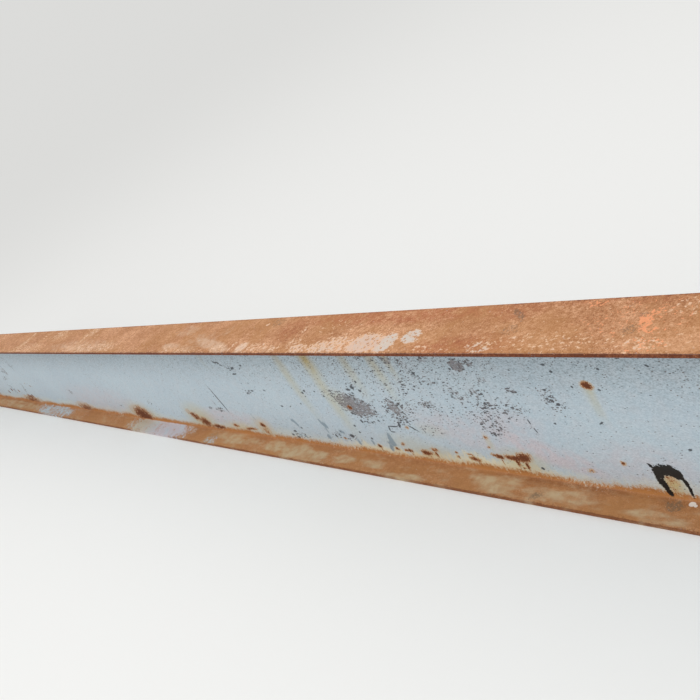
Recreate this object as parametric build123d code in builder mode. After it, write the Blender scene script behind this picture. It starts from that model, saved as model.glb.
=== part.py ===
"""A rolled wide-flange steel girder, cut square to a stock length.

X runs along the girder, Y across its flanges and Z up.
The origin is on the floor, under the middle of the girder.
"""

import os

from build123d import *

# Driving dimensions of the rolled section and of the cut length, in millimetres
girder_length = 6096.0
section_depth = 399.0
flange_width = 140.0
flange_thickness = 8.8
web_thickness = 6.4

# The fillet that the rolls leave between web and flange, and the rounding at each toe corner
root_radius = 10.2
toe_radius = 1.8

# The saw leaves its cut faces with a small deburred edge all round
cut_edge_break = 0.6


def build_girder():
    """Return the girder as one solid: two flanges, a web and the fillets between them."""
    with BuildPart() as girder:
        with BuildSketch(Plane.YZ.offset(-girder_length / 2)) as section:
            # The bottom flange rests on the floor and the top flange reaches the full depth
            flange_middle = flange_thickness / 2
            with Locations((0, flange_middle), (0, section_depth - flange_middle)):
                Rectangle(flange_width, flange_thickness)
            # The web fills the height between the two flanges
            with Locations((0, section_depth / 2)):
                Rectangle(web_thickness, section_depth - 2 * flange_thickness)
            # From one side to the other the corners are toes, roots, roots and toes
            left_toes, left_roots, right_roots, right_toes = section.vertices().group_by(Axis.X)
            fillet(left_roots + right_roots, radius=root_radius)
            fillet(left_toes + right_toes, radius=toe_radius)
        extrude(amount=girder_length)

        # Both sawn ends are deburred round their whole outline
        sawn_ends = girder.faces().filter_by(Axis.X)
        chamfer(sawn_ends.edges(), length=cut_edge_break)

    girder.part.label = "girder"
    return girder.part


def main():
    """Build the girder and write it as a STEP file."""
    os.makedirs("parts", exist_ok=True)
    export_step(build_girder(), "parts/girder.step")


if __name__ == "__main__":
    main()
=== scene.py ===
"""Weathered steel girder.

Models a rolled wide-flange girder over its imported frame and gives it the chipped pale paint, rusted
flanges, rust runs and tar smear of the real one. It also sets a pale stage and a camera. Lengths are metres
in the girder's own frame: X runs along it, Y across its flanges and Z up from the floor.
"""

import math
from typing import NamedTuple

import bmesh
import bpy
from mathutils import Matrix, Vector


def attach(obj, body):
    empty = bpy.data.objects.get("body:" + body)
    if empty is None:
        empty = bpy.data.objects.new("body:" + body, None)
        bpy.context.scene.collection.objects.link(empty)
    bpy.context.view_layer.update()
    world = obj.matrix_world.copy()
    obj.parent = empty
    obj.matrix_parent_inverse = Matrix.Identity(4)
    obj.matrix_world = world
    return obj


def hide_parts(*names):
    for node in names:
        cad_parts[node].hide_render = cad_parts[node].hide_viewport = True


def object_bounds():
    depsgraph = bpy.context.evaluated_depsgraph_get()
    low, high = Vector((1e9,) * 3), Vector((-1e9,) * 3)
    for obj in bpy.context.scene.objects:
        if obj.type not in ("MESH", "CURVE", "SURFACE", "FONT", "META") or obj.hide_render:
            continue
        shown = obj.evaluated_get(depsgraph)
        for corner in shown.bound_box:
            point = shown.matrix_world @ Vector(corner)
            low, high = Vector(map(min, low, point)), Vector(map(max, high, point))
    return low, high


bl_info = {
    "name": "Weathered Steel Girder",
    "version": (1, 0, 0),
    "blender": (4, 5, 0),
    "location": "3D Viewport > Sidebar > Girder",
    "description": "Models a rolled steel girder with chipped paint and rusted flanges",
    "category": "Add Mesh",
}

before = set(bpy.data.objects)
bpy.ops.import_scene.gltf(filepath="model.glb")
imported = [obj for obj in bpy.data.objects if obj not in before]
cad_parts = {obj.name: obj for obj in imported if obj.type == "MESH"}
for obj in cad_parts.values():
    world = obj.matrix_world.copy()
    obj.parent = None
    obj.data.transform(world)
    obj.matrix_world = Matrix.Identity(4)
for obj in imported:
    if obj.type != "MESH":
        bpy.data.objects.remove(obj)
CAD_LOW, CAD_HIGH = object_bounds()

GIRDER_NODE = "girder"
MILLIMETRE = 0.001


# Sizes and colours that a user can change


def screen_colour(red, green, blue):
    """Turn a colour as seen on a screen, 0 to 255, into the linear colour that a shader takes."""
    def linear(value):
        share = value / 255
        return share / 12.92 if share <= 0.04045 else ((share + 0.055) / 1.055) ** 2.4
    return (linear(red), linear(green), linear(blue))


def length_setting(name, description, default):
    """A length in metres, shown in the sidebar."""
    return bpy.props.FloatProperty(
        name=name, description=description, default=default, unit="LENGTH", precision=4
    )


def angle_setting(name, description, degrees):
    """An angle, given in degrees."""
    return bpy.props.FloatProperty(
        name=name, description=description, default=math.radians(degrees), subtype="ANGLE"
    )


def colour_setting(name, description, red, green, blue):
    """A colour, given as it looks on a screen."""
    return bpy.props.FloatVectorProperty(
        name=name, description=description, default=screen_colour(red, green, blue),
        subtype="COLOR", size=3, min=0.0, max=1.0,
    )


class GirderSizes(bpy.types.PropertyGroup):
    """Sizes of the rolled section and of the wear on it."""

    length: length_setting("Length", "Cut length along X", CAD_HIGH.x - CAD_LOW.x)
    width: length_setting("Flange Width", "Width of both flanges across Y", CAD_HIGH.y - CAD_LOW.y)
    depth: length_setting("Depth", "Overall depth from underside to top face", CAD_HIGH.z - CAD_LOW.z)
    flange: length_setting("Flange Thickness", "Thickness of each flange", 0.0088)
    web: length_setting("Web Thickness", "Thickness of the web", 0.0064)
    root: length_setting("Root Radius", "Fillet between web and flange", 0.0102)
    toe: length_setting("Toe Radius", "Rounding at each corner of a flange toe", 0.0018)
    cut_edge: length_setting("Cut Edge", "Deburred edge round each sawn end", 0.0006)
    toe_wear: length_setting("Toe Wear", "Deepest rust and nicks along the flange toes", 0.0012)
    scale_relief: length_setting("Scale Relief", "Depth of the uneven rust on the top face", 0.0005)


# What each colour is for, and how it looks on a screen
FINISH_COLOURS = {
    "paint": ("Pale blue-grey paint on the web", 181, 197, 206),
    "paint_cool": ("Bluer drifts in the paint", 170, 187, 199),
    "paint_warm": ("Greyer clouds in the paint", 186, 192, 198),
    "paint_dark": ("Dark side of the paint's fine mottle", 140, 152, 160),
    "paint_pale": ("Pale side of the paint's fine mottle", 206, 213, 218),
    # Dirt and painted shade that darken the top of the web, under the top flange
    "grime": ("Dull dirt high on the web", 118, 126, 130),
    "chalk": ("Pinkish bloom low on the web", 194, 182, 187),
    "bleached": ("Cream paint above the rust line", 216, 209, 180),
    "stain": ("Yellow rust stain on the paint", 188, 174, 122),
    # Browner stain, with dirt and painted shade, for stains high on the web under the top flange
    "run_head": ("Browner head of each rust run", 160, 138, 84),
    "glow": ("Orange stain close round rust", 192, 144, 76),
    "smear": ("Blue-grey smears low on the web", 124, 142, 154),
    "bare": ("Dull metal where paint has chipped off", 134, 129, 130),
    "bare_dark": ("Darker parts of the bare patches", 80, 76, 83),
    "chip_dark": ("Darkest small chips", 54, 52, 56),
    "chip_pale": ("Palest small chips", 104, 92, 88),
    "scratch": ("Single dark scratches and nicks", 56, 60, 66),
    "rust_dark": ("Darkest, red-brown rust", 58, 28, 18),
    "rust_brown": ("Brown rust", 110, 58, 36),
    "rust_mid": ("Common orange-brown rust on the flanges", 172, 118, 78),
    "rust_pale": ("Dusty peach rust", 214, 162, 124),
    "rust_bright": ("Fresh orange rust", 240, 158, 112),
    "rust_lines": ("Wandering pale lines where scale has lifted", 240, 188, 150),
    "rust_yellow": ("Yellower stretches of rust", 176, 124, 74),
    "rust_red": ("Redder patches of the top face", 178, 98, 66),
    "rust_low": ("Tan rust of the bottom flange", 178, 128, 74),
    "rust_toe": ("Dark rust of the toes", 122, 62, 30),
    "rust_creep": ("Rust that creeps up the web", 170, 112, 54),
    "rust_heart": ("Dark hearts of the rust spots", 92, 42, 18),
    "dust": ("Pale dust on the top face", 214, 183, 157),
    "primer": ("Pinkish remains of primer on the flanges", 214, 187, 170),
    "primer_rim": ("Peach rims of the remains of primer", 231, 192, 158),
    "blue_remains": ("Greyer paint left over the primer", 203, 203, 197),
    "silt": ("Olive-tan dust lying on the bottom flange", 194, 174, 140),
    "soot": ("Grey-green smudges", 98, 88, 72),
    "dropping": ("Small white splash on the bottom flange", 216, 206, 196),
    "tar": ("Black tar smear", 18, 19, 19),
}


class GirderColours(bpy.types.PropertyGroup):
    """Colours of the paint, the rust and what lies on them."""

    __annotations__ = {
        name: colour_setting(name.replace("_", " ").title(), *entry)
        for name, entry in FINISH_COLOURS.items()
    }


class GirderStage(bpy.types.PropertyGroup):
    """The floor, the light and the camera."""

    floor: colour_setting("Floor", "Pale floor and background", 236, 236, 234)
    floor_radius: length_setting("Floor Radius", "Reach of the floor", 60.0)
    sky: bpy.props.FloatProperty(name="Sky", description="Strength of the even sky", default=0.85, min=0.0)
    lamp: bpy.props.FloatProperty(name="Lamp", description="Power of the soft lamp in watts", default=170.0)
    lamp_size: length_setting("Lamp Size", "Width of the soft lamp", 5.0)
    camera_x: length_setting("Camera X", "Camera position along the girder", 2.45)
    camera_y: length_setting("Camera Y", "Camera position in front of the girder", -0.8645)
    camera_z: length_setting("Camera Z", "Camera height above the floor", 1.0761)
    heading: angle_setting("Heading", "Camera heading, turned left from +Y", 58.92)
    pitch: angle_setting("Pitch", "How far the camera looks down", 23.48)
    roll: angle_setting("Roll", "How far the camera is tipped over", 33.62)
    lens: bpy.props.FloatProperty(
        name="Lens", description="Focal length on a 36 mm wide sensor", default=42.17, min=1.0,
        subtype="DISTANCE_CAMERA",
    )


def sizes():
    """The girder's sizes in the current scene."""
    return bpy.context.scene.girder_sizes


def colours():
    """The girder's colours in the current scene."""
    return bpy.context.scene.girder_colours


# Marks, placed one by one on the side that faces -Y and on the top face


class Mark(NamedTuple):
    """A soft oval on one face: its middle, its half sizes, its strength and its turn in degrees."""

    along: float
    across: float
    half_length: float
    half_width: float
    strength: float = 1.0
    turn: float = 0.0


class Run(NamedTuple):
    """A rust run down the web: where it is, its half width, the heights it spans and its strength."""

    along: float
    half_width: float
    foot: float
    head: float
    strength: float


def from_rows(kind, rows):
    """Marks or runs from rows whose first four numbers are millimetres."""
    return tuple(kind(*(length * MILLIMETRE for length in row[:4]), *row[4:]) for row in rows)


def marks(*rows):
    """Marks from rows of along, across, half length, half width, strength and turn."""
    return from_rows(Mark, rows)


def runs(*rows):
    """Rust runs from rows of along, half width, foot, head and strength."""
    return from_rows(Run, rows)


# On the web, across is the height above the floor
CHIPPED_AREAS = marks(
    (893, 176, 100, 52, 1.0, -14), (1041, 178, 30, 40, 0.9, 34), (830, 213, 50, 16, 0.6),
    (925, 235, 40, 18, 0.42, 20), (905, 125, 60, 18, 0.4, -5), (1044, 166, 62, 66, 0.6),
    (1095, 188, 50, 36, 0.46), (1114, 240, 24, 50, 0.5, -30), (1125, 114, 52, 28, 0.4),
    (1168, 197, 38, 18, 0.6), (1273, 228, 28, 22, 0.66), (1327, 236, 32, 22, 0.66, 8),
    (1337, 206, 44, 18, 0.6), (1400, 200, 56, 26, 0.56, 6), (1428, 248, 28, 9, 0.66, -24),
    (1512, 226, 50, 26, 0.52, -62), (1510, 256, 24, 10, 0.5), (1322, 148, 56, 46, 0.52),
    (1350, 270, 12, 12, 0.52, 40), (1330, 178, 50, 30, 0.46), (1322, 311, 28, 21, 1.06, -4),
    (1357, 318, 20, 13, 0.76), (1160, 313, 30, 20, 0.56), (1120, 322, 26, 16, 0.8),
    (1239, 326, 28, 12, 0.6), (1110, 280, 150, 90, 0.36), (1140, 270, 30, 12, 0.56, 24),
    (1212, 262, 34, 7, 0.62, -6), (1160, 197, 36, 14, 0.66, 6), (1183, 172, 12, 22, 0.5),
    (1330, 200, 120, 80, 0.36), (1040, 328, 30, 12, 0.6), (1141, 265, 34, 10, 0.52, 14),
    (1210, 260, 30, 8, 0.52), (1258, 252, 18, 8, 0.55, -20), (1366, 276, 18, 10, 0.52, 40),
    (362, 301, 34, 14, 0.5, -20), (412, 290, 34, 22, 0.46, -20), (480, 291, 26, 10, 0.44, 30),
    (425, 196, 46, 16, 0.46), (155, 107, 36, 14, 0.7), (95, 110, 18, 8, 0.7), (545, 36, 70, 22, 0.4),
    (760, 60, 90, 30, 0.34), (1070, 250, 480, 200, 0.26), (480, 300, 300, 80, 0.12),
    (-700, 70, 40, 15, 0.4), (-380, 100, 30, 15, 0.4), (-1180, 110, 30, 20, 0.6),
)
DARK_MARKS = marks(
    (348, 306, 13, 6, 0.74, -12), (368, 303, 8, 7, 0.6), (377, 296, 9, 5, 0.66, -20),
    (429.5, 285, 16, 6, 0.8, 6), (417.5, 263, 19, 5, 0.8, 8), (486, 295.5, 10, 5, 0.72, 20),
    (473, 286, 9, 4, 0.6, 16), (411, 199, 8, 5, 0.62), (430, 200, 8, 6, 0.6), (448, 201, 9, 5, 0.7),
    (410, 188, 8, 5, 0.6), (457, 230, 9, 3, 0.6, 16), (594, 151, 8, 3, 0.56, 20), (920.5, 217, 7, 5, 0.7),
    (879.5, 121.5, 8, 8, 0.8), (902, 121.5, 6, 5, 0.72), (920.5, 121.5, 6, 5, 0.72),
    (950, 129, 6, 5, 0.7), (970, 133, 6, 4, 0.7), (704.5, 194, 6, 4, 0.62), (762, 213.6, 6, 5, 0.62),
    (791, 200, 7, 4, 0.7), (197.5, 152, 84, 4.6, 1.0, -83), (150, 128, 40, 2.2, 0.45, -78),
    (793, 62, 15, 8.5, 1.0), (720.5, 54.5, 5, 11, 0.8), (838.6, 80, 6, 5, 0.85), (835.5, 102, 7, 5, 0.8),
    (873, 62, 7, 6, 0.8), (523, 51, 11, 6, 0.8), (499, 35, 9, 7, 0.85), (521, 27, 10, 6, 0.85),
    (571, 69, 8, 6, 0.8), (550, 149, 11, 5, 0.7), (517, 206, 11, 5, 0.6), (657, 165, 6, 5, 0.6),
    (703, 207, 7, 6, 0.85), (717, 214, 8, 6, 0.85), (933, 236, 10, 9, 0.95), (912, 228, 13, 6, 0.8),
    (955, 226, 8, 6, 0.8), (962, 254, 7, 6, 0.8), (1182, 288, 9, 5, 0.85), (1298, 301, 5, 5, 0.85),
    (1392, 38, 6, 5.5, 1.0), (1427, 170, 12, 3, 0.75, -85), (1432, 146, 12, 2.8, 0.7, -75),
    (1489, 171, 5, 4.5, 0.85), (1535, 317, 6, 4, 0.9), (1544, 301, 5, 4, 0.9), (1572, 267, 4, 4, 0.8),
    (1594, 182, 8, 2.8, 0.8, 35), (1625, 262, 5, 5, 0.8), (1644, 309, 4, 4, 0.95),
    (1736, 318, 6, 3, 0.9, -35), (1742, 136, 5, 4, 0.85), (1018, 122, 14, 6.4, 1.0, 62),
    (993, 115, 24, 3.4, 1.0, 3), (972, 106, 14, 3.6, 1.0, 72), (978, 96, 13, 3.2, 0.95),
    (1062, 116, 20, 4, 0.95, -35),
)
SMEARS = marks(
    (700, 90, 14, 20, 0.9, 20), (690, 98, 8, 26, 0.74, 16), (692, 74, 8, 20, 0.7),
    (682, 47, 12, 14, 0.84), (757, 73.6, 16, 9, 0.8, -15), (741, 60, 10, 12, 0.62),
    (807, 42, 8, 20, 0.72), (948, 70, 13, 28, 0.96, -10), (944, 54, 22, 14, 0.84),
    (931, 38, 11, 22, 0.84, -22), (866, 48, 8, 18, 0.7), (552, 94, 13, 11, 0.85, -40),
    (561, 82, 8, 18, 0.8), (539, 38, 14, 7, 0.7), (561, 37, 9, 7, 0.76), (466, 98, 10, 20, 0.35),
    (482, 136, 10, 12, 0.3), (336, 90, 8, 30, 0.3),
)
RUST_SPOTS = marks(
    (1604.5, 271, 18, 14, 1.06, -15), (868, 167, 15, 11, 0.92), (1336, 58, 58, 14, 0.9),
    (1356, 62, 36, 22, 1.0, 20), (1287, 57, 30, 12, 0.78, -12), (1290, 46, 5, 26, 0.56),
    (1333, 45, 9, 30, 0.74), (1354, 40, 8, 36, 0.78), (1344, 30, 10, 8, 0.6), (1055, 36, 36, 17, 0.8),
    (1060, 26, 6, 20, 0.56), (1088.5, 50, 22, 12, 0.68), (1087, 40, 7, 32, 0.66),
    (1209, 37, 28, 15, 0.76, -10), (1213, 26, 5, 22, 0.56), (1159, 51, 9, 7, 0.56),
    (1157, 37, 8, 12, 0.56), (1200, 51, 22, 5, 0.54), (984, 56, 14, 8, 0.66, 30), (998, 24, 5, 22, 0.56),
    (886, 26, 5, 18, 0.56), (950, 36, 14, 10, 0.7), (982, 35, 12, 9, 0.76), (998, 36, 16, 11, 0.8),
    (884, 37, 15, 11, 0.8), (752, 49, 14, 9, 0.5), (357, 58, 24, 18, 0.84), (357, 36, 46, 46, 0.46),
    (180, 40, 30, 14, 0.78), (265, 34, 70, 12, 0.7, 5), (1282, 112, 11, 11, 0.47), (1273, 82, 9, 8, 0.44),
    (1041, 116, 14, 9, 0.45, 30), (1595, 83, 11, 11, 0.46), (1514, 51, 18, 10, 0.46),
    (1677, 52, 24, 40, 0.5), (1673, 60, 10, 8, 0.66), (-70, 58, 70, 34, 0.7, -30), (-20, 36, 60, 36, 0.8),
    (50, 22, 90, 20, 0.74), (-530, 26, 130, 70, 0.92), (-1150, 20, 160, 50, 0.66),
    (-1900, 20, 240, 50, 0.6),
)
STAINS = marks(
    (1345, 50, 85, 46, 0.56), (1604, 258, 14, 26, 0.45), (1070, 42, 110, 36, 0.4),
    (357, 45, 70, 60, 0.55), (210, 35, 140, 34, 0.4), (845, 190, 60, 50, 0.42), (1120, 114, 70, 30, 0.2),
    (-35, 50, 130, 90, 0.6), (-530, 30, 170, 80, 0.55), (1677, 42, 34, 44, 0.85),
    (1283, 95, 14, 40, 0.35), (1000, 60, 120, 40, 0.25),
)
CHALKY_AREAS = marks(
    (1220, 120, 180, 64, 0.46, -12), (1400, 95, 140, 40, 0.85, -24), (1470, 70, 110, 40, 0.75, -20),
    (1640, 80, 140, 70, 0.4), (1350, 155, 120, 50, 0.45), (160, 70, 240, 50, 0.6), (360, 60, 70, 40, 0.6),
    (-900, 80, 500, 100, 0.4), (-370, 4, 400, 20, 1.0),
)
RUNS = runs(
    (692, 28, 40, 400, 0.38), (819, 36, 210, 400, 0.98), (815, 32, 0, 330, 0.44),
    (968, 26, 160, 400, 0.38), (1068, 22, 160, 400, 0.44), (1118, 18, 240, 400, 0.5),
    (1603, 14, 170, 268, 0.34), (1345, 34, 0, 60, 0.45), (1700, 10, 330, 400, 0.8),
    (280, 16, 250, 400, 0.16),
)
TAR_MARKS = marks(
    (1676.5, 79, 30, 19, 1.0, 8), (1693, 72, 19, 16, 1.0, -50), (1658, 68, 26, 12, 1.0, -84),
    (1657.5, 45, 30, 10, 1.0, -78), (1650, 85, 12, 5.5, 0.9, -60), (1661.5, 25, 18, 7.5, 1.0, -72),
    (1704, 52, 25, 5.6, 1.0, -80), (1705.8, 32, 24, 4.4, 0.95, -90),
)

# On a flange, across is the distance from the middle of its width
PRIMER_PATCHES = marks(
    (1140, -40, 75, 50, 1.0), (1205, -38, 40, 50, 0.96), (1268, -20, 36, 30, 0.94, -25),
    (1040, -44, 80, 52, 0.7), (990, -52, 60, 34, 0.76), (915, -55, 50, 26, 0.76),
    (880, -36, 40, 36, 0.52), (660, -46, 30, 28, 0.84), (700, -52, 12, 30, 0.66),
    (610, -45, 10, 30, 0.66), (810, -52, 40, 24, 0.56), (680, 42, 14, 12, 0.6), (870, 8, 10, 30, 0.5),
    (545, -52, 60, 26, 0.56), (740, -48, 70, 26, 0.54), (360, -58, 150, 20, 0.46),
    (250, -56, 70, 22, 0.5), (1330, -56, 50, 18, 0.46), (1470, -52, 50, 30, 0.54),
    (1820, 42, 44, 34, 0.46), (1780, -48, 60, 24, 0.5), (1600, -40, 200, 40, 0.4),
    (1000, 20, 120, 50, 0.32), (-400, -45, 400, 40, 0.55), (-1100, -40, 300, 50, 0.5),
)
DUSTY_PATCHES = marks(
    (262, 30, 90, 40, 0.56), (250, -42, 80, 24, 0.66), (480, -34, 150, 26, 0.84, -10),
    (400, -12, 120, 44, 0.5), (350, -50, 110, 24, 0.5), (660, -48, 34, 30, 1.0), (505, 20, 40, 34, 0.4),
    (560, -56, 60, 20, 0.8), (780, -56, 60, 18, 0.44), (-500, -30, 500, 50, 0.5),
)
BLUE_REMAINS = marks(
    (1212, -38, 36, 46, 1.0), (1268, -20, 44, 36, 1.0, -25), (1150, -36, 80, 34, 0.45),
    (1020, -52, 60, 24, 0.5), (1465, -54, 40, 24, 0.7), (300, -68, 340, 10, 0.7),
)
BRIGHT_RUST = marks(
    (1764, 6, 18, 22, 0.9), (1774, -14, 30, 14, 0.74), (1756, 16, 12, 12, 0.9), (1772, 30, 22, 14, 0.66),
    (1648, 58, 34, 14, 0.64), (1750, 10, 160, 70, 0.34), (1790, -50, 60, 30, 0.5),
)
SMUDGES = marks(
    (1502, 36, 40, 10, 0.8, -38), (1508, -6, 30, 24, 0.55), (1748, -14, 26, 18, 0.66),
    (1752, 22, 12, 10, 0.7), (720, 50, 40, 24, 0.6), (390, 62, 70, 12, 0.4),
)
RED_PATCHES = marks(
    (1390, -52, 120, 36, 0.75), (1460, -50, 120, 40, 0.5), (1150, 52, 400, 36, 0.8),
    (1480, 50, 90, 40, 0.5), (820, 20, 70, 60, 0.45), (1780, 62, 300, 14, 0.4),
)

# These lie on top of the bottom flange
SILT_PATCHES = marks(
    (410, -36, 70, 28, 0.85), (530, -42, 110, 34, 0.96), (640, -44, 46, 26, 0.8), (750, -40, 60, 20, 0.7),
    (870, -40, 60, 20, 0.62), (210, -34, 180, 28, 0.6), (1270, -40, 100, 32, 0.85),
    (1450, -42, 90, 20, 0.8), (1380, -48, 60, 30, 0.6), (1655, -55, 90, 22, 0.76),
    (1000, -62, 90, 14, 0.7), (-2100, -35, 500, 30, 0.7),
)
FLANGE_PAINT = marks(
    (-370, -36, 330, 80, 1.0), (-1500, -36, 350, 60, 0.75), (50, -52, 60, 26, 0.55),
)
FLANGE_SMUDGES = marks(
    (1388, -50, 24, 14, 0.85, 30), (1675, -23.5, 26, 18, 1.0), (40, -40, 50, 30, 0.55),
    (30, -60, 30, 14, 0.6),
)
DROPPINGS = marks(
    (1704, -12.5, 8, 6.4, 1.0, 20), (1711, -15, 4, 4, 0.9),
)


# Shader building


class Value:
    """What a node gives out. Arithmetic on it adds the nodes that work out the result."""

    def __init__(self, tree, socket):
        self.tree = tree
        self.socket = socket

    def __add__(self, other):
        return calculate("ADD", self, other)

    def __sub__(self, other):
        return calculate("SUBTRACT", self, other)

    def __rsub__(self, other):
        return calculate("SUBTRACT", other, self)

    def __mul__(self, other):
        return calculate("MULTIPLY", self, other)

    def __abs__(self):
        return calculate("ABSOLUTE", self)

    def plus(self, other, share):
        """This value and a share of another."""
        return calculate("MULTIPLY_ADD", other, share, self)

    def less(self, other):
        """This value without another, never below nothing."""
        return calculate("SUBTRACT", self, other, clamp=True)

    def swing(self, amount):
        """A cloudy value around one half, turned into a push up or down."""
        return calculate("MULTIPLY_ADD", self, amount, -amount / 2)

    def fade(self, start, end, low=0.0, high=1.0, smooth=True):
        """Go from low to high while this value goes from start to end."""
        sockets = {"Value": self, "From Min": start, "From Max": end, "To Min": low, "To Max": high}
        shape = "SMOOTHSTEP" if smooth else "LINEAR"
        return node_value(self.tree, "ShaderNodeMapRange", sockets, interpolation_type=shape)

    def under(self, mask, colour):
        """This colour with another laid over it by a mask."""
        return blend(mask, self, colour)


def with_alpha(colour):
    """Give a three-part colour the fourth part that a shader socket holds."""
    return (*colour[:3], 1.0)


def fill(socket, value):
    """Link a socket to what a node gives out, or set its plain value."""
    if isinstance(value, Value):
        value.tree.links.new(value.socket, socket)
    else:
        socket.default_value = value


def add_node(tree, kind, sockets=None, **settings):
    """Add a node with its settings, and fill its sockets by name or place."""
    node = tree.nodes.new(kind)
    for name, value in settings.items():
        setattr(node, name, value)
    for key, value in (sockets or {}).items():
        fill(node.inputs[key], value)
    return node


def node_value(tree, kind, sockets=None, output=0, **settings):
    """Add a node and return one of the things that it gives out."""
    return Value(tree, add_node(tree, kind, sockets, **settings).outputs[output])


def calculate(operation, *values, clamp=False):
    """One step of arithmetic, in the tree of whichever value has one."""
    tree = next(value.tree for value in values if isinstance(value, Value))
    return node_value(tree, "ShaderNodeMath", dict(enumerate(values)), operation=operation, use_clamp=clamp)


def away_from(value, middle, inner, outer):
    """Rise from 0 to 1 while a value's distance from a middle goes from inner to outer."""
    return abs(value - middle).fade(inner, outer)


def strongest(*values):
    """The largest of several masks."""
    result = values[0]
    for value in values[1:]:
        result = calculate("MAXIMUM", result, value)
    return result


def blend(share, first, second):
    """Mix two colours."""
    first, second = (each if isinstance(each, Value) else with_alpha(each) for each in (first, second))
    sockets = {0: share, 6: first, 7: second}
    return node_value(share.tree, "ShaderNodeMix", sockets, output=2, data_type="RGBA")


def split(place):
    """The three parts of a place."""
    outputs = add_node(place.tree, "ShaderNodeSeparateXYZ", {0: place}).outputs
    return [Value(place.tree, output) for output in outputs]


def stretch(place, x, y, z):
    """Scale a pattern's place, to draw the pattern out along an axis."""
    return node_value(place.tree, "ShaderNodeMapping", {"Vector": place, "Scale": (x, y, z)})


def slant(place, degrees, length):
    """Turn a pattern's place about Y and draw the pattern out along its own X."""
    rotation = (0.0, -math.radians(degrees), 0.0)
    sockets = {"Vector": place, "Rotation": rotation, "Scale": (length, 1.0, 1.0)}
    return node_value(place.tree, "ShaderNodeMapping", sockets, vector_type="TEXTURE")


def grain(place, scale, detail=3.0, roughness=0.55):
    """A cloudy value around one half, with features about one over scale across."""
    sockets = {"Vector": place, "Scale": scale, "Detail": detail, "Roughness": roughness}
    return node_value(place.tree, "ShaderNodeTexNoise", sockets)


def blotches(pattern, amount, rarest, commonest, softness):
    """Irregular blotches that cover more of the surface as the amount goes from 0 to 1."""
    level = amount.fade(0.0, 1.0, rarest, commonest, smooth=False)
    return (pattern - level).fade(-softness, softness)


def marks_mask(place, marks_there, upright, core):
    """The largest of a list of marks. Each rises from its rim to its full strength at its core."""
    def on_face(along, across, between):
        """Put two parts in the order of the face: the web stands up, and a flange lies flat."""
        return (along, between, across) if upright else (along, across, between)

    # Plain sums are used here, because the shader runs out of room with a Map Range for each mark
    tree = place.tree
    turned_place = node_value(tree, "ShaderNodeMapping", {"Vector": place})
    straight, turned = 0.0, 0.0
    for mark in marks_there:
        half_sizes = on_face(mark.half_length, mark.half_width, 1.0)
        middle = on_face(mark.along, mark.across, 0.0)
        steepness = mark.strength / core
        if mark.turn:
            turn = math.radians(mark.turn)
            rotation = (0.0, -turn, 0.0) if upright else (0.0, 0.0, turn)
            sockets = {"Vector": turned_place, "Location": middle, "Rotation": rotation, "Scale": half_sizes}
            offset = node_value(tree, "ShaderNodeMapping", sockets, vector_type="TEXTURE")
            nearness = node_value(tree, "ShaderNodeTexGradient", {0: offset}, 1, gradient_type="SPHERICAL")
            slope = nearness * steepness
        else:
            scale = [1 / length for length in half_sizes]
            shift = [-distance * share for distance, share in zip(middle, scale)]
            sockets = {0: place, 1: scale, 2: shift}
            offset = node_value(tree, "ShaderNodeVectorMath", sockets, operation="MULTIPLY_ADD")
            distance = node_value(tree, "ShaderNodeVectorMath", {0: offset}, "Value", operation="LENGTH")
            slope = calculate("MULTIPLY_ADD", distance, -steepness, steepness)
        if core < 1.0:
            slope = calculate("MINIMUM", slope, mark.strength)
        if mark.turn:
            turned = strongest(slope, turned)
        else:
            straight = strongest(slope, straight)
    return strongest(straight, turned) if isinstance(turned, Value) else straight


def named(tree, sockets):
    """The things that some sockets give out, by name."""
    return {socket.name: Value(tree, socket) for socket in sockets}


def new_group(name, inputs, outputs):
    """A shader node group with named inputs and outputs, each a name with its socket type."""
    tree = bpy.data.node_groups.new(name, "ShaderNodeTree")
    for direction, sockets in (("INPUT", inputs), ("OUTPUT", outputs)):
        for socket_name, kind in sockets.items():
            tree.interface.new_socket(socket_name, in_out=direction, socket_type=f"NodeSocket{kind}")
    arriving = tree.nodes.new("NodeGroupInput")
    leaving = tree.nodes.new("NodeGroupOutput")
    return tree, named(tree, arriving.outputs), leaving.inputs


def use_group(group, place, **sockets):
    """Place a group in the tree of a place and return what it gives out."""
    node = add_node(place.tree, "ShaderNodeGroup", node_tree=group)
    for name, value in {"place": place, **sockets}.items():
        fill(node.inputs[name.replace("_", " ").title()], value)
    return named(place.tree, node.outputs)


def make_sides_group():
    """Group that lays the near side's places over the far side too, turned end for end and moved along."""
    tree, given, result = new_group(
        "Own Side", {"Place": "Vector"}, {"Web": "Vector", "Flange": "Vector", "Along": "Float"}
    )
    x, y, z = split(given["Place"])
    facing = calculate("SIGN", y) * -1.0
    far_shift = facing.fade(-1.0, 1.0, 0.7, 0.0)
    along = far_shift.plus(x, facing)
    fill(result["Web"], node_value(tree, "ShaderNodeCombineXYZ", {0: along, 2: z}))
    fill(result["Flange"], node_value(tree, "ShaderNodeCombineXYZ", {0: along, 1: y * facing}))
    fill(result["Along"], along)
    return tree


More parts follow.
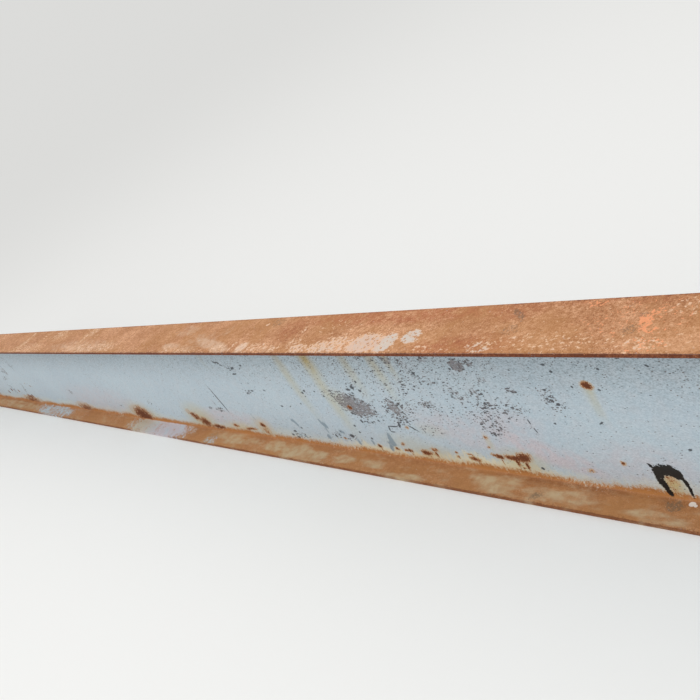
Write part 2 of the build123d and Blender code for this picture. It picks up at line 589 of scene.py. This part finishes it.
def make_rust_group():
    """Group for rust: its colour and relief from a tone that runs from dark to pale."""
    colour = colours()
    tree, given, result = new_group(
        "Rust",
        {"Place": "Vector", "Tone": "Float", "Contrast": "Float", "Worms": "Float"},
        {"Colour": "Color", "Height": "Float"},
    )
    place = given["Place"]
    broad = grain(stretch(place, 0.7, 1.0, 1.0), 11.0, 4.0, 0.6)
    middle = grain(stretch(place, 0.8, 1.0, 1.0), 95.0, 4.0, 0.70)
    fine = grain(place, 420.0, 2.0, 0.6)
    wander = broad.swing(0.8) + middle.swing(1.0) + fine.swing(1.7)
    ramp = add_node(tree, "ShaderNodeValToRGB", {0: given["Tone"].plus(wander, given["Contrast"])})
    stops = ramp.color_ramp.elements
    stops[0].color = with_alpha(colour.rust_dark)
    stops[1].color = with_alpha(colour.rust_pale)
    for position, shade in ((0.32, colour.rust_brown), (0.68, colour.rust_mid)):
        stops.new(position).color = with_alpha(shade)

    # Pale dusty lines wander over the rust where scale has lifted
    lines = abs(grain(place, 170.0, 3.0, 0.65).swing(1.0)).fade(0.040, 0.008)
    lines = lines * middle.fade(0.42, 0.58) * broad.fade(0.40, 0.58, 0.15, 1.0) * given["Worms"]
    fill(result["Colour"], blend(lines * 0.85, Value(tree, ramp.outputs[0]), colour.rust_lines))
    fill(result["Height"], middle * 0.6 + fine * 0.4)
    return tree


def make_paint_group():
    """Group for old paint: drifts of tone, fine mottling, a faint orange peel, and dirt with painted shade
    where its input asks for it.
    """
    colour = colours()
    tree, given, result = new_group(
        "Old Paint",
        {"Place": "Vector", "Grime": "Float", "Chalk": "Float"},
        {"Colour": "Color", "Height": "Float"},
    )
    place = given["Place"]
    drift = grain(stretch(place, 0.6, 1.0, 1.0), 4.0, 4.0)
    clouds = grain(place, 38.0, 3.0, 0.6)
    mottle = grain(stretch(place, 0.55, 1.0, 1.0), 480.0, 2.0, 0.7)
    base = blend(drift.fade(0.35, 0.65, 0.0, 0.55), colour.paint, colour.paint_cool)
    base = base.under(clouds.fade(0.40, 0.68, 0.0, 0.40), colour.paint_warm)
    base = base.under(given["Chalk"] * clouds.fade(0.34, 0.56, 0.45, 1.0), colour.chalk)
    base = base.under(mottle.fade(0.42, 0.72, 0.0, 0.32), colour.paint_dark)
    base = base.under(mottle.fade(0.55, 0.28, 0.0, 0.45), colour.paint_pale)
    # Dirt and painted shade darken the paint, broken up by the mottle, where the input asks
    base = base.under(given["Grime"] * mottle.fade(0.50, 0.60, 0.5, 2.1), colour.grime)
    fill(result["Colour"], base)
    fill(result["Height"], mottle)
    return tree


def make_chips_group():
    """Group for chipped paint: separate chips that grow and merge as the amount goes from 0 to 1."""
    tree, given, result = new_group(
        "Chips",
        {"Place": "Vector", "Amount": "Float", "Per Metre": "Float"},
        {"Mask": "Float", "Pick": "Float"},
    )
    place, amount, per_metre = given["Place"], given["Amount"], given["Per Metre"]

    # Each cell holds one chip, with its own chance of having come off
    sockets = {"Vector": place, "Scale": per_metre, "Randomness": 1.0}
    cells = add_node(tree, "ShaderNodeTexVoronoi", sockets).outputs
    cell_colour = Value(tree, cells["Color"])
    chance = node_value(tree, "ShaderNodeSeparateColor", {0: cell_colour})
    sockets = {"Vector": place, "Scale": per_metre * 2.2, "Detail": 2.0}
    ragged = node_value(tree, "ShaderNodeTexNoise", sockets)
    reach = (amount - chance).fade(0.0, 0.36, 0.33, 0.62, smooth=False) + ragged.swing(0.40)
    inside = (reach - Value(tree, cells["Distance"])).fade(-0.06, 0.06)
    fill(result["Mask"], inside * calculate("GREATER_THAN", amount, chance))
    fill(result["Pick"], chance)
    return tree


class SteelFinish:
    """The girder's own finish: paint on the web, rust on the flanges and everything between them."""

    def __init__(self):
        self.size, self.colour = sizes(), colours()
        self.material = bpy.data.materials.new("weathered_painted_steel")
        self.material.use_nodes = True
        self.chips_group = make_chips_group()
        self.find_faces(self.material.node_tree)
        self.make_patterns()
        self.creep_up_web()
        self.spot_with_rust()
        self.lay_rust()
        self.leave_remains()
        self.lay_paint()
        self.chip_paint()
        self.finish_shader(self.material.node_tree.nodes["Principled BSDF"])

    def marked(self, face, marks_there, core=0.5):
        """The mask of a list of marks on the web, on the bottom flange or on the top face."""
        return marks_mask(self.faces[face], marks_there, upright=face == "web", core=core)

    def find_faces(self, tree):
        """Say where on the section the surface is. Each mask is 1 on its own part."""
        size = self.size
        self.place = node_value(tree, "ShaderNodeTexCoord", output="Object")
        self.along, self.across, self.height = split(self.place)
        self.reach = abs(self.across)
        own_side = use_group(make_sides_group(), self.place)
        self.own_along = own_side["Along"]
        top = node_value(tree, "ShaderNodeCombineXYZ", {0: self.along, 1: self.across})
        self.faces = {"web": own_side["Web"], "flange": own_side["Flange"], "top": top}

        self.on_top = self.height.fade(size.depth - 1.4 * MILLIMETRE, size.depth - 0.5 * MILLIMETRE)
        edge = size.width / 2
        self.on_toe = self.reach.fade(edge - 1.9 * MILLIMETRE, edge - 1.1 * MILLIMETRE) * (1.0 - self.on_top)
        self.on_foot = self.height.fade(size.flange + 3 * MILLIMETRE, size.flange + 0.5 * MILLIMETRE)
        skin = size.web / 2
        self.on_web = self.reach.fade(skin + 4 * MILLIMETRE, skin + 2 * MILLIMETRE) * (1.0 - self.on_top)

    def make_patterns(self):
        """Make the patterns that several effects share."""
        place = self.place
        self.wide = grain(place, 7.0, 3.0)
        self.fibres = grain(stretch(place, 1.0, 1.0, 0.16), 210.0, 3.0, 0.6)
        self.ragged = grain(place, 150.0, 4.0, 0.65)
        self.ragged_push = self.ragged.swing(1.0)
        self.broken = self.ragged_push + grain(place, 400.0, 3.0, 0.65).swing(1.0)
        self.soft = grain(place, 45.0, 3.0, 0.6)

    def creep_up_web(self):
        """Rust creeps up the web from the bottom flange, to a ragged, fibrous line with a bleached halo."""
        creep = self.height + self.wide.swing(-0.030) + self.fibres.swing(-0.016)
        creep = creep.plus(self.broken, -0.024)
        self.rust_line = creep.fade(0.0250, 0.0150)
        self.line_glow = creep.fade(0.034, 0.018)
        halo = creep.plus(self.soft, -0.040) + self.fibres.swing(-0.030) + self.wide.swing(-0.040)
        dimmed = away_from(self.along, 1.08, 0.17, 0.50)
        self.halo = halo.fade(0.036, 0.006) * calculate("MULTIPLY_ADD", dimmed, -0.68, 1.0)

    def spot_with_rust(self):
        """Spot the web with rust, and say where the surface is rust and where it is paint."""
        # Past the stretch where the marks lie, the same wear is scattered by chance
        self.past_marks = away_from(self.own_along, 0.20, 1.80, 2.10)
        beyond = self.past_marks * self.height.fade(0.17, 0.02, 0.02, 0.26)
        scattered = use_group(self.chips_group, self.place, amount=beyond * 0.8, per_metre=34.0)["Mask"]
        spots = strongest(scattered * 0.62, self.marked("web", RUST_SPOTS, core=1.0)) * self.on_web
        self.spots = spots.plus(self.broken * 0.80 + self.fibres.swing(0.8), spots.fade(0.0, 0.25))
        self.spot_rust = self.spots.fade(0.28, 0.50)
        self.spot_heart = self.spots.fade(0.40, 0.72)

        kept = self.marked("flange", FLANGE_PAINT) * self.on_foot + self.soft.swing(1.4)
        self.kept_paint = kept.plus(self.broken, 1.6).fade(0.45, 0.85)
        bed = strongest(self.rust_line, self.on_toe, self.on_top).less(self.kept_paint)
        self.rusted = strongest(bed, self.spot_rust)

    def lay_rust(self):
        """Rust is dark on the toes and in the spots, and orange-brown on the flanges."""
        colour, along, on_top, on_foot = self.colour, self.along, self.on_top, self.on_foot
        dark_rust = strongest(self.on_toe, self.spot_rust)
        edge = self.size.width / 2
        ragged_reach = self.reach.plus(self.broken, 0.030)
        self.rim = ragged_reach.fade(edge - 3.2 * MILLIMETRE, edge + 0.4 * MILLIMETRE)
        red = self.marked("top", RED_PATCHES) * on_top * self.soft.fade(0.30, 0.60)
        root_shade = self.reach.fade(0.030, self.size.web / 2 + 4 * MILLIMETRE) * on_foot
        tone = calculate("MULTIPLY_ADD", on_top, 0.14, 0.64) - self.on_toe * 0.23
        tone = tone - self.spot_heart * 0.30 - self.spot_rust * 0.14
        lean = self.across.fade(0.06, -0.06, -0.04, 0.035) * along.fade(0.9, 1.5, -0.3, 1.0)
        tone = tone.plus(lean, on_top).plus(along.fade(1.5, 0.7, -0.035, 0.035), on_foot)
        tone = tone - self.rim * 0.30 - root_shade * along.fade(0.9, 1.5, 0.12, 0.24) - red * 0.16
        contrast = on_top.fade(0.0, 1.0, 0.32, 0.54).plus(dark_rust, 0.34)
        worms = on_top.plus(on_foot, 0.35)
        self.rust = use_group(make_rust_group(), self.place, tone=tone, contrast=contrast, worms=worms)
        yellowed = self.wide.fade(0.42, 0.64, 0.0, 0.45).less(dark_rust)
        shade = self.rust["Colour"].under(yellowed, colour.rust_yellow)
        shade = shade.under(red * 0.46, colour.rust_red)
        shade = shade.under(on_foot * 0.30, colour.rust_low)
        shade = shade.under(self.on_toe * 0.45, colour.rust_toe)
        creeping = self.on_web * self.spot_rust.fade(0.0, 1.0, 1.0, 0.30)
        shade = shade.under(creeping * 0.62, colour.rust_creep)
        self.rust_colour = shade.under(self.spot_heart * self.on_web * 0.62, colour.rust_heart)

    def leave_remains(self):
        """Silt lies on the bottom flange, and dust, primer and paint are left on the top face."""
        colour, place, on_top, on_foot = self.colour, self.place, self.on_top, self.on_foot
        silt_pattern = grain(stretch(place, 0.35, 1.0, 1.0), 44.0, 4.0, 0.6)
        silt = blotches(silt_pattern, self.marked("flange", SILT_PATCHES), 0.68, 0.34, 0.20) * on_foot
        shade = self.rust_colour.under(silt * self.soft.fade(0.36, 0.60, 0.45, 0.82), colour.silt)
        dusty = self.marked("top", DUSTY_PATCHES) * on_top
        dusty = dusty.plus(dusty * self.broken, 1.3) + self.soft.swing(1.5)
        shade = shade.under(dusty.fade(0.20, 1.10, 0.0, 0.66), colour.dust)

        beyond = away_from(self.along, 0.95, 0.95, 1.30) * self.wide.fade(0.48, 0.66, 0.0, 0.62)
        near_edge = self.across.fade(0.075, -0.075, 0.10, 0.26)
        primer = strongest(self.marked("top", PRIMER_PATCHES), beyond, near_edge)
        flecks = grain(stretch(place, 0.75, 0.95, 1.0), 135.0, 5.0, 0.74)
        inside = blotches(flecks, primer, 0.80, 0.44, 0.05)
        holes = use_group(self.chips_group, place, amount=0.34, per_metre=150.0)["Mask"]
        primer = blotches(flecks, primer, 0.70, 0.37, 0.03) * on_top
        primer = primer * strongest(holes, self.rim).fade(0.0, 1.0, 0.86, 0.08)
        blue = (self.marked("top", BLUE_REMAINS) + self.soft.swing(1.6)).fade(0.30, 1.20, 0.0, 0.72)
        remains = blend(inside, colour.primer_rim, colour.primer).under(blue, colour.blue_remains)
        shade = shade.under(primer, remains)

        bright = blotches(self.ragged, self.marked("top", BRIGHT_RUST) * on_top, 0.72, 0.42, 0.03)
        shade = shade.under(bright * 0.80, colour.rust_bright)
        low_smudge = self.marked("flange", FLANGE_SMUDGES) * on_foot
        smudge = strongest(self.marked("top", SMUDGES) * on_top, low_smudge)
        self.rust_colour = shade.under(smudge.plus(self.broken, 2.4).fade(0.40, 1.10) * 0.60, colour.soot)

    def lay_paint(self):
        """Paint is cleaner low on the web, darkened under the top flange by dirt and painted shade, and
        stained by rust and runs.
        """
        colour, height, spots = self.colour, self.height, self.spots
        # High on the web, under the top flange, dirt and painted shade darken the paint
        self.paint = use_group(
            make_paint_group(), self.place,
            grime=height.fade(0.20, 0.37, 0.0, 0.36), chalk=self.marked("web", CHALKY_AREAS),
        )
        smear = self.marked("web", SMEARS, core=0.7) + self.fibres.swing(1.2) + self.ragged_push * 1.1
        stain = strongest(self.marked("web", STAINS, core=0.8), spots.fade(0.10, 0.50, 0.0, 0.62))
        wavering = self.own_along + grain(stretch(self.place, 1.0, 1.0, 0.12), 60.0).swing(0.022)
        for run in RUNS:
            narrow = abs(wavering - run.along).fade(1.2 * run.half_width, 0.0)
            drop = height.fade(run.foot, 0.35 * run.foot + 0.65 * run.head, 0.0, run.strength)
            below_head = height.fade(run.head + 4 * MILLIMETRE, run.head)
            stain = strongest(stain, narrow * drop * below_head)
        stain = stain * self.soft.fade(0.26, 0.52, 0.70, 1.0)

        shade = self.paint["Colour"].under(self.halo.less(self.kept_paint) * 0.88, colour.bleached)
        # Stains high on the web, under the top flange, turn darker and browner: painted shade with dirt
        shade = shade.under(stain, blend(height.fade(0.24, 0.37), colour.stain, colour.run_head))
        glow = strongest(self.line_glow, spots.fade(0.08, 0.34, 0.0, 0.7))
        glow = glow * calculate("SUBTRACT", 0.5, self.kept_paint, clamp=True)
        shade = shade.under(strongest(glow, spots.fade(0.28, 0.50, 0.0, 0.40)), colour.glow)
        self.paint_colour = shade.under(smear.fade(0.24, 0.62) * 0.85, colour.smear)

    def chip_paint(self):
        """Chips go down to dull metal; the finest are a speckle under the top flange."""
        colour, on_web = self.colour, self.on_web
        beyond = self.past_marks * self.wide.fade(0.50, 0.68, 0.0, 0.76) * on_web
        sprinkled = self.wide.fade(0.50, 0.72, 0.02, 0.14)
        density = strongest(self.marked("web", CHIPPED_AREAS) * on_web, sprinkled, beyond)
        slanted = slant(self.place, 8.0, 2.0)
        clusters = density.fade(0.22, 0.84, 0.004, 0.80, smooth=False)
        coarse = use_group(self.chips_group, slanted, amount=clusters, per_metre=220.0)
        speckle = self.height.fade(0.22, 0.36, 0.01, 0.12).plus(density, 0.62)
        fine = use_group(self.chips_group, slanted, amount=speckle, per_metre=360.0)
        solid = density.plus(self.broken, 1.9).fade(0.80, 0.96)
        chips = strongest(coarse["Mask"], fine["Mask"] * 0.90, solid)
        patch = blend(self.broken.fade(-0.14, 0.12), colour.bare_dark, colour.bare)
        bare = blend(coarse["Pick"], colour.chip_dark, colour.chip_pale).under(solid, patch)
        scratches = self.marked("web", DARK_MARKS, core=1.0).plus(self.broken, 0.9).fade(0.20, 0.40)
        shade = self.paint_colour.under(chips * 0.92, bare)
        self.paint_colour = shade.under(scratches * on_web * 0.92, colour.scratch)

    def finish_shader(self, shader):
        """Lay rust over paint, then the white splash, the tar and the sawn ends, and give it all relief."""
        colour, tree = self.colour, self.place.tree
        near_side = calculate("LESS_THAN", self.across, 0.0)
        dropping = self.marked("flange", DROPPINGS) * self.on_foot * near_side
        tar = self.marked("web", TAR_MARKS, core=1.0).plus(self.broken, 0.90).fade(0.22, 0.30)
        tar = tar * (self.on_web * near_side)
        surface = self.paint_colour.under(self.rusted, self.rust_colour)
        surface = surface.under(dropping.fade(0.3, 0.5), colour.dropping).under(tar, colour.tar)

        # Each sawn end shows a rusted cut with fine upright lines
        end = self.size.length / 2
        on_end = abs(self.along).fade(end - 0.5 * MILLIMETRE, end - 0.2 * MILLIMETRE)
        saw_lines = grain(stretch(self.place, 1.0, 1.0, 0.04), 500.0, 2.0)
        cut_colour = blend(saw_lines.fade(0.35, 0.65), colour.rust_brown, colour.rust_mid)
        fill(shader.inputs["Base Color"], surface.under(on_end, cut_colour))
        dull = self.rusted.fade(0.0, 1.0, 0.55, 0.90)
        fill(shader.inputs["Roughness"], tar.fade(0.0, 1.0, dull, 0.50))
        fill(shader.inputs["Specular IOR Level"], 0.35)

        # Rust stands in grains, and the paint has a faint orange peel
        rough = strongest(self.on_toe, self.on_top, self.on_foot)
        sockets = {0: rough, 2: self.paint["Height"] * 0.12, 3: self.rust["Height"] * 1.6}
        relief = node_value(tree, "ShaderNodeMix", sockets)
        sockets = {"Strength": 0.7, "Distance": 0.40 * MILLIMETRE, "Height": relief}
        fill(shader.inputs["Normal"], node_value(tree, "ShaderNodeBump", sockets))


# Modelling helpers


def only(obj):
    """Select one object and make it active."""
    bpy.ops.object.select_all(action="DESELECT")
    obj.select_set(True)
    bpy.context.view_layer.objects.active = obj


def pick(obj, kind, test):
    """In edit mode, select only the vertices, edges or faces that pass a test."""
    bpy.context.tool_settings.mesh_select_mode = (kind == "verts", kind == "edges", kind == "faces")
    bpy.ops.mesh.select_all(action="DESELECT")
    mesh = bmesh.from_edit_mesh(obj.data)
    for element in getattr(mesh, kind):
        element.select_set(test(element))
    bmesh.update_edit_mesh(obj.data)


def near(value, target):
    """Whether two lengths agree to a hundredth of a millimetre."""
    return abs(value - target) < 0.01 * MILLIMETRE


def runs_along(edge):
    """Whether an edge lies along the girder."""
    return abs(edge.verts[0].co.x - edge.verts[1].co.x) > MILLIMETRE


def bevel(width, steps):
    """Round or break the selected edges."""
    bpy.ops.mesh.bevel(offset=width, segments=steps, profile=0.5, affect="EDGES")


def evenly_between(start, end, count):
    """Places that divide a stretch into equal parts, without its ends."""
    return [start + (end - start) * place / (count + 1) for place in range(1, count + 1)]


def cut_across(point, normal):
    """Cut the whole mesh along a plane, keeping both sides."""
    bpy.ops.mesh.select_all(action="SELECT")
    bpy.ops.mesh.bisect(plane_co=point, plane_no=normal)


def add_modifier(obj, kind, **settings):
    """Add a modifier, set it up and apply it."""
    only(obj)
    modifier = obj.modifiers.new(kind.title(), kind)
    for name, value in settings.items():
        setattr(modifier, name, value)
    bpy.ops.object.modifier_apply(modifier=modifier.name)


def vertex_group(obj, name, test):
    """Name the vertices that pass a test."""
    group = obj.vertex_groups.new(name=name)
    group.add([vertex.index for vertex in obj.data.vertices if test(vertex.co)], 1.0, "REPLACE")
    return group.name


def cloud_texture(name, feature_size):
    """A cloudy texture that a Displace modifier can read."""
    texture = bpy.data.textures.new(name, "CLOUDS")
    texture.noise_scale = feature_size
    texture.noise_depth = 3
    return texture


def wear_down(obj, group, feature_size, depth, axis="NORMAL"):
    """Sink part of a surface by an uneven depth, never beyond its first face."""
    add_modifier(
        obj, "DISPLACE", texture=cloud_texture(f"{group} wear", feature_size), texture_coords="LOCAL",
        vertex_group=group, direction=axis, strength=depth, mid_level=1.0,
    )


class ModelGirder(bpy.types.Operator):
    """Model the rolled section, its root fillets, worn toes and uneven rust, and give it its finish"""

    bl_idname = "girder.model_girder"
    bl_label = "Model Girder"

    def execute(self, context):
        size = sizes()
        girder = self.rolled_section(size)
        self.wear(girder, size)
        only(girder)
        bpy.ops.object.shade_smooth_by_angle(angle=math.radians(40))
        girder.data.materials.append(SteelFinish().material)
        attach(girder, "root")
        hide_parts(GIRDER_NODE)
        return {"FINISHED"}

    def rolled_section(self, size):
        """Shape the bare section: web, flanges, fillets and closely divided faces."""
        bpy.ops.object.select_all(action="DESELECT")
        bpy.ops.mesh.primitive_cube_add(
            size=1.0, location=(0.0, 0.0, size.depth / 2), scale=(size.length, size.web, size.depth)
        )
        girder = bpy.context.object
        girder.name = girder.data.name = "steel_girder"
        bpy.ops.object.transform_apply(location=True, rotation=False, scale=True)
        bpy.ops.object.mode_set(mode="EDIT")

        # The web plate's foot and head are drawn out sideways into the flanges
        inner_faces = (size.flange, size.depth - size.flange)
        for level in inner_faces:
            cut_across((0, 0, level), (0, 0, 1))
        reach = (size.width - size.web) / 2
        for side in (-1, 1):
            pick(girder, "faces", lambda face: face.normal.y * side > 0.9 and not (
                inner_faces[0] < face.calc_center_median().z < inner_faces[1]
            ))
            bpy.ops.mesh.extrude_region_move(TRANSFORM_OT_translate={"value": (0, side * reach, 0)})

        # Fillets at the four roots, and rounded corners on the four toes
        def at_root(edge):
            ends = [vertex.co for vertex in edge.verts]
            return runs_along(edge) and all(
                near(abs(co.y), size.web / 2) and any(near(co.z, level) for level in inner_faces)
                for co in ends
            )

        def at_toe(edge):
            return runs_along(edge) and all(near(abs(vertex.co.y), size.width / 2) for vertex in edge.verts)

        def at_end(edge):
            return not runs_along(edge) and near(abs(edge.verts[0].co.x), size.length / 2)

        pick(girder, "edges", at_root)
        bevel(size.root, 4)
        pick(girder, "edges", at_toe)
        bevel(size.toe, 3)

        # Each sawn end is one face with a deburred rim
        pick(girder, "faces", lambda face: abs(face.normal.x) > 0.9)
        bpy.ops.mesh.dissolve_faces()
        pick(girder, "edges", at_end)
        bevel(size.cut_edge, 1)

        # Cuts along the faces, then many across them, in two rounds
        web_foot = size.flange + size.root
        for height in evenly_between(web_foot, size.depth - web_foot, count=9):
            cut_across((0, 0, height), (0, 0, 1))
        for across in evenly_between(size.web / 2 + size.root, size.width / 2 - size.toe, count=4):
            for side in (-1, 1):
                cut_across((0, side * across, 0), (0, 1, 0))
        for _ in range(2):
            pick(girder, "edges", runs_along)
            bpy.ops.mesh.subdivide(number_cuts=29)
        bpy.ops.object.mode_set(mode="OBJECT")
        return girder

    def wear(self, girder, size):
        """Eat into the toes in long hollows and short nicks, and unevenly into the top face."""
        toe_line = size.width / 2 - 0.4 * size.toe
        top_level = size.depth - 0.1 * MILLIMETRE
        top_edge = size.width / 2 - 4 * MILLIMETRE
        toes = vertex_group(girder, "toes", lambda co: abs(co.y) > toe_line)
        hollow, nick, patch = 90 * MILLIMETRE, 14 * MILLIMETRE, 30 * MILLIMETRE
        wear_down(girder, toes, hollow, 0.6 * size.toe_wear)
        wear_down(girder, toes, nick, 0.7 * size.toe_wear)
        top = vertex_group(girder, "top face", lambda co: co.z > top_level and abs(co.y) < top_edge)
        wear_down(girder, top, patch, size.scale_relief, "Z")


class LayStage(bpy.types.Operator):
    """Lay the pale floor, set soft light over it and place the camera"""

    bl_idname = "girder.lay_stage"
    bl_label = "Lay Stage"

    def execute(self, context):
        stage = context.scene.girder_stage
        self.floor(stage)
        self.light(context.scene, stage)
        self.camera(context.scene, stage)
        context.scene.view_settings.view_transform = "Standard"
        return {"FINISHED"}

    def floor(self, stage):
        """A wide pale disc under the girder."""
        bpy.ops.object.select_all(action="DESELECT")
        bpy.ops.mesh.primitive_circle_add(vertices=96, radius=stage.floor_radius, fill_type="NGON")
        floor = bpy.context.object
        floor.name = "floor"
        material = bpy.data.materials.new("pale_floor")
        material.use_nodes = True
        shader = material.node_tree.nodes["Principled BSDF"]
        fill(shader.inputs["Base Color"], with_alpha(stage.floor))
        fill(shader.inputs["Roughness"], 1.0)
        fill(shader.inputs["Specular IOR Level"], 0.0)
        floor.data.materials.append(material)

    def light(self, scene, stage):
        """An even sky, seen in the colour of the far floor, and one large soft lamp above the near side."""
        world = bpy.data.worlds.new("even sky")
        world.use_nodes = True
        scene.world = world
        tree = world.node_tree
        sky = tree.nodes["Background"]
        fill(sky.inputs["Color"], (1.0, 1.0, 1.0, 1.0))
        fill(sky.inputs["Strength"], stage.sky)
        sockets = {"Color": with_alpha(stage.floor), "Strength": stage.sky}
        seen = node_value(tree, "ShaderNodeBackground", sockets)
        rays = named(tree, add_node(tree, "ShaderNodeLightPath").outputs)
        seen_by = strongest(rays["Is Camera Ray"], rays["Is Glossy Ray"], rays["Is Transmission Ray"])
        sockets = {0: seen_by, 1: Value(tree, sky.outputs[0]), 2: seen}
        either = node_value(tree, "ShaderNodeMixShader", sockets)
        fill(tree.nodes["World Output"].inputs["Surface"], either)

        lamp_place, middle_of_web = Vector((1.5, -3.6, 6.8)), Vector((0.0, 0.0, 0.2))
        bpy.ops.object.light_add(type="AREA", location=lamp_place)
        lamp = bpy.context.object
        lamp.name = "soft lamp"
        lamp.data.shape = "DISK"
        lamp.data.size = stage.lamp_size
        lamp.data.energy = stage.lamp
        lamp.rotation_euler = (middle_of_web - lamp_place).to_track_quat("-Z", "Y").to_euler()

    def camera(self, scene, stage):
        """A camera at the place, heading, pitch and roll that the photograph was taken from."""
        data = bpy.data.cameras.new("camera")
        data.lens = stage.lens
        data.sensor_width = 36.0
        data.clip_end = 4 * stage.floor_radius
        camera = bpy.data.objects.new("camera", data)
        scene.collection.objects.link(camera)
        camera.location = (stage.camera_x, stage.camera_y, stage.camera_z)
        turn = (
            Matrix.Rotation(stage.heading, 3, "Z")
            @ Matrix.Rotation(math.radians(90) - stage.pitch, 3, "X")
            @ Matrix.Rotation(-stage.roll, 3, "Z")
        )
        camera.rotation_euler = turn.to_euler()
        scene.camera = camera


class GirderPanel(bpy.types.Panel):
    """Sidebar panel with the girder's steps and settings"""

    bl_idname = "GIRDER_PT_steps"
    bl_label = "Girder"
    bl_space_type = "VIEW_3D"
    bl_region_type = "UI"
    bl_category = "Girder"

    def draw(self, context):
        for step in STEPS:
            self.layout.operator(step.bl_idname)
        for group in (context.scene.girder_sizes, context.scene.girder_colours, context.scene.girder_stage):
            box = self.layout.box()
            for name in type(group).__annotations__:
                box.prop(group, name)


STEPS = (ModelGirder, LayStage)
CLASSES = (GirderSizes, GirderColours, GirderStage, *STEPS, GirderPanel)


def register():
    """Register every class and hang the settings on the scene."""
    for item in CLASSES:
        bpy.utils.register_class(item)
    bpy.types.Scene.girder_sizes = bpy.props.PointerProperty(type=GirderSizes)
    bpy.types.Scene.girder_colours = bpy.props.PointerProperty(type=GirderColours)
    bpy.types.Scene.girder_stage = bpy.props.PointerProperty(type=GirderStage)


def unregister():
    """Take the settings and classes away again."""
    for name in ("girder_stage", "girder_colours", "girder_sizes"):
        delattr(bpy.types.Scene, name)
    for item in reversed(CLASSES):
        bpy.utils.unregister_class(item)


def main():
    """Register the add-on and run every step in order."""
    register()
    bpy.ops.girder.model_girder()
    bpy.ops.girder.lay_stage()


if __name__ == "__main__":
    main()
